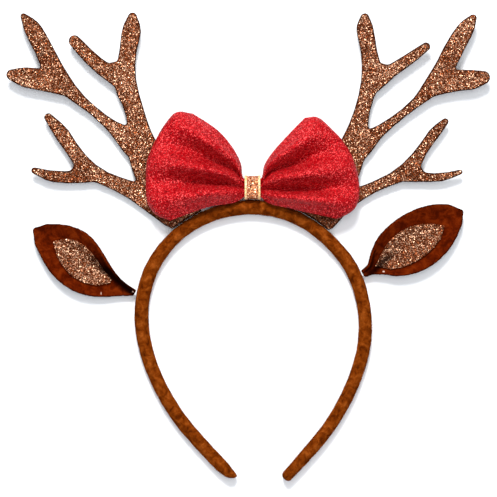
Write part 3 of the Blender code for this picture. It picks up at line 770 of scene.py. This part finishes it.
def make_tack(ear, name, x, y, length, radius, material):
    """A short stitch or drop of glue on the front of an ear, at a place in the tables' frame."""
    place = (np.array((x, y, 0.0)) - OUTLINE_MIDDLE) * MM
    hit, top, _, _ = ear.ray_cast((place[0], place[1], 1.0), (0.0, 0.0, -1.0))
    shape = bmesh.new()
    bmesh.ops.create_icosphere(shape, subdivisions=2, radius=1.0)
    mesh = bpy.data.meshes.new(name)
    for vert in shape.verts:
        vert.co = (
            place[0] + vert.co.x * radius * MM,
            place[1] + vert.co.y * length * MM / 2,
            (top[2] if hit else TACK_SPARE_HEIGHT) + vert.co.z * radius * MM * TACK_FLATNESS,
        )
    shape.to_mesh(mesh)
    shape.free()
    mesh.shade_smooth()
    mesh.materials.append(material)
    tack = add_mesh(name, mesh)
    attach(tack, "root")
    return tack


def make_ear(side):
    """One cupped ear of dark felt, with painted shadow along its crease and painted shade along its cut
    edge.
    """
    node = "ear_" + side
    work = remade(node, EAR_MESH)
    work.data.materials.append(EAR_FELT)
    work.data.shade_smooth()
    ear = run_tree(work, RUFFLE, node + "_felted", **EAR_LUMPS)
    finish_piece(ear, node)
    set_shade(ear.data, side, True)
    tacks = [
        make_tack(ear, f"tack_{side}_{spot.name}", spot.x, spot.y, spot.length, spot.radius, TACK_THREAD)
        for spot in EAR_TACKS[side]
    ]
    return ear


def make_leaf(side):
    """The glittered leaf inside an ear, with painted shadow along the ear's crease."""
    node = "inner_ear_" + side
    work = remade(node, LEAF_MESH)
    work.data.materials.append(COPPER_COAT)
    work.data.shade_smooth()
    leaf = run_tree(work, RUFFLE, node + "_sheet", **LEAF_LUMPS)
    finish_piece(leaf, node)
    set_mask(leaf.data, np.clip((upward_facing(leaf.data) - LEAF_FRONT_FACING) * 4, 0, 1))
    set_shade(leaf.data, side, False)
    chips = scatter(leaf, node + "_glitter", "brown_glitter", LEAF_CHIPS, Seed=LEAF_SEED + len(side),
                    **EAR_LEAF_CHIPS)
    return leaf


def lobe_lines(folds, side):
    """Return one lobe's ribbon, fold by fold: from the gather over the front, round and back."""
    steps = np.linspace(0.0, 1.0, BOW_ALONG + 1)
    out = (steps + np.sin(steps * math.pi / 2)) / 2
    home = np.sin(np.linspace(math.pi / 2, 0.0, BOW_BACK_ALONG + 1))[1:]
    neck_x = BOW_CENTRE_X + side * BOW_NECK_X
    lines = []
    for fold in folds:
        flare_x = neck_x + BOW_FLARE_ACROSS * (fold.mid_x - neck_x)
        flare_y = fold.neck_y + BOW_FLARE_UP * (fold.mid_y - fold.neck_y)
        front_rows = [
            (BOW_CENTRE_X, fold.neck_y, fold.neck_z),
            (neck_x, fold.neck_y, fold.neck_z),
            (flare_x, flare_y, fold.neck_z + BOW_FLARE_UP * (fold.mid_z - fold.neck_z)),
            (fold.mid_x, fold.mid_y, fold.mid_z),
            (fold.end_x, fold.end_y, fold.end_z),
        ]
        back_heights = 2 * [BOW_GATHER_BACK_Z] + 3 * [BOW_BACK_Z]
        back_rows = [(x, y, z) for (x, y, _), z in zip(front_rows, back_heights)]
        neck = BOW_NECK_X / np.hypot(*np.diff(np.array(front_rows)[:, :2], axis=0).T).sum()
        front = smooth_rows(front_rows, [0.0, *(neck + (1 - neck) * out)])
        back = smooth_rows(back_rows, [*(neck + (1 - neck) * home), 0.0])
        front[1:, 2] = BOW_EDGE_Z + (front[1:, 2] - BOW_EDGE_Z) * np.sqrt(1 - out**6)
        back[:-1, 2] = BOW_EDGE_Z + (back[:-1, 2] - BOW_EDGE_Z) * np.sqrt(1 - home**14)
        lines.append(np.vstack((front, back)))
    return lines


def make_bow():
    """The loop of glittered ribbon, gathered into two puffed lobes."""
    left = lobe_lines(LEFT_LOBE, -1)
    right = lobe_lines(RIGHT_LOBE, 1)
    loops = [np.vstack((a[:-1], b[::-1][:-1])) for a, b in zip(left, right)]
    around = len(loops[0])
    places = np.linspace(0.0, 1.0, BOW_ACROSS + 1)
    spread = np.linspace(0.0, 1.0, len(LEFT_LOBE))
    points = []
    for station in range(around):
        column = [(share * 100, 0.0, *loop[station]) for share, loop in zip(spread, loops)]
        points.extend(row[2:] for row in smooth_rows(column, places))
    work = grid_piece("bow", points, grid_faces(around, len(places), True), RIBBON_THICKNESS, [RED_COAT])
    bow = run_tree(baked(work, "bow_wall"), RUFFLE, "bow_ribbon", **BOW_LUMPS)
    bow.data.shade_smooth()
    finish_piece(bow, "bow")
    set_mask(bow.data, np.ones(len(bow.data.vertices)))
    chips = scatter(bow, "bow_glitter", "red_glitter", RED_CHIPS, Seed=BOW_SEED, **BOW_CHIPS)
    return bow


def make_wrap():
    """The gold strip around the gather, with a light hem along both edges."""
    points = []
    rows = np.linspace(-0.5, 0.5, WRAP_ROWS + 1)
    for side in range(WRAP_SIDES):
        angle = 2 * math.pi * side / WRAP_SIDES
        up, out = math.cos(angle), math.sin(angle)
        reach = (abs(up) ** WRAP_SQUARENESS + abs(out) ** WRAP_SQUARENESS) ** (-1 / WRAP_SQUARENESS)
        for share in rows:
            from_edge = (0.5 - abs(share)) * WRAP_LENGTH
            rise = WRAP_HEM_RISE if from_edge < WRAP_HEM else 0.0
            y = WRAP_CENTRE_Y + reach * up * ((WRAP_HEIGHT - WRAP_THICKNESS) / 2 + rise)
            z = BOW_KNOT_Z + reach * out * ((WRAP_DEPTH - WRAP_THICKNESS) / 2 + rise)
            points.append((BOW_CENTRE_X + share * WRAP_LENGTH, y, z))
    faces = grid_faces(WRAP_SIDES, len(rows), True)
    work = grid_piece("bow_wrap", points, faces, WRAP_THICKNESS, [GOLD_COAT, GOLD_HEM])
    wrap = baked(work, "bow_wrap_strip")
    mesh = wrap.data
    centres = np.empty(len(mesh.polygons) * 3, np.float32)
    mesh.polygons.foreach_get("center", centres)
    from_middle = np.abs(centres.reshape(-1, 3)[:, 0] / MM + OUTLINE_MIDDLE[0] - BOW_CENTRE_X)
    set_face_slots(mesh, np.where(from_middle > WRAP_LENGTH / 2 - WRAP_HEM, 1, 0))
    mesh.shade_smooth()
    return finish_piece(wrap, "bow_wrap")


# The stage

def make_floor():
    """A plain white floor that the headband lies on."""
    mesh = bpy.data.meshes.new("floor")
    corners = [(x * FLOOR_REACH, y * FLOOR_REACH, 0) for x, y in ((-1, -1), (1, -1), (1, 1), (-1, 1))]
    mesh.from_pydata(corners, [], [(0, 1, 2, 3)])
    floor = add_mesh("floor", mesh)
    floor.location.z = -FLOOR_DROP
    material, _, _ = plain_material("floor_white", Base_Color=(0.95, 0.955, 0.965, 1.0), Roughness=0.9)
    mesh.materials.append(material)


def make_light(name, place, size, power, colour=(1.0, 1.0, 1.0)):
    """An area light that looks at the middle of the headband."""
    light = bpy.data.lights.new(name, "AREA")
    light.shape = "DISK"
    light.size = size
    light.energy = power
    light.color = colour
    item = bpy.data.objects.new(name, light)
    bpy.context.scene.collection.objects.link(item)
    item.location = place
    away = np.array(place) / np.linalg.norm(place)
    item.rotation_euler = (math.acos(away[2]), 0.0, math.atan2(away[0], -away[1]))
    item.visible_camera = False
    return item


def make_camera():
    """The camera straight above, with a long lens."""
    lens = bpy.data.cameras.new("camera")
    lens.sensor_width = SENSOR_WIDTH
    lens.lens = SENSOR_WIDTH * CAMERA_DISTANCE / VIEW_WIDTH
    lens.clip_start = 0.05
    camera = bpy.data.objects.new("camera", lens)
    bpy.context.scene.collection.objects.link(camera)
    camera.location = (VIEW_CENTRE[0], VIEW_CENTRE[1], VIEW_CENTRE[2] + CAMERA_DISTANCE)
    bpy.context.scene.camera = camera


def make_stage():
    """Floor, lights, sky and camera."""
    make_floor()
    make_light("key", (-0.1, 1.0, 1.3), 0.5, 30.0)
    make_light("fill", (0.4, -0.9, 1.7), 1.1, 8.0, (0.93, 0.96, 1.0))
    make_light("overhead", (0.1, 0.2, 2.4), 1.6, 20.0)
    world = bpy.data.worlds.new("sky")
    world.use_nodes = True
    sky = world.node_tree.nodes["Background"]
    sky.inputs["Color"].default_value = (0.86, 0.92, 1.0, 1.0)
    sky.inputs["Strength"].default_value = 0.35
    bpy.context.scene.world = world
    bpy.context.scene.view_settings.view_transform = "Standard"
    make_camera()


make_stage()
make_band()
for hand in ("left", "right"):
    make_antler(hand)
    make_ear(hand)
    make_leaf(hand)
make_bow()
make_wrap()
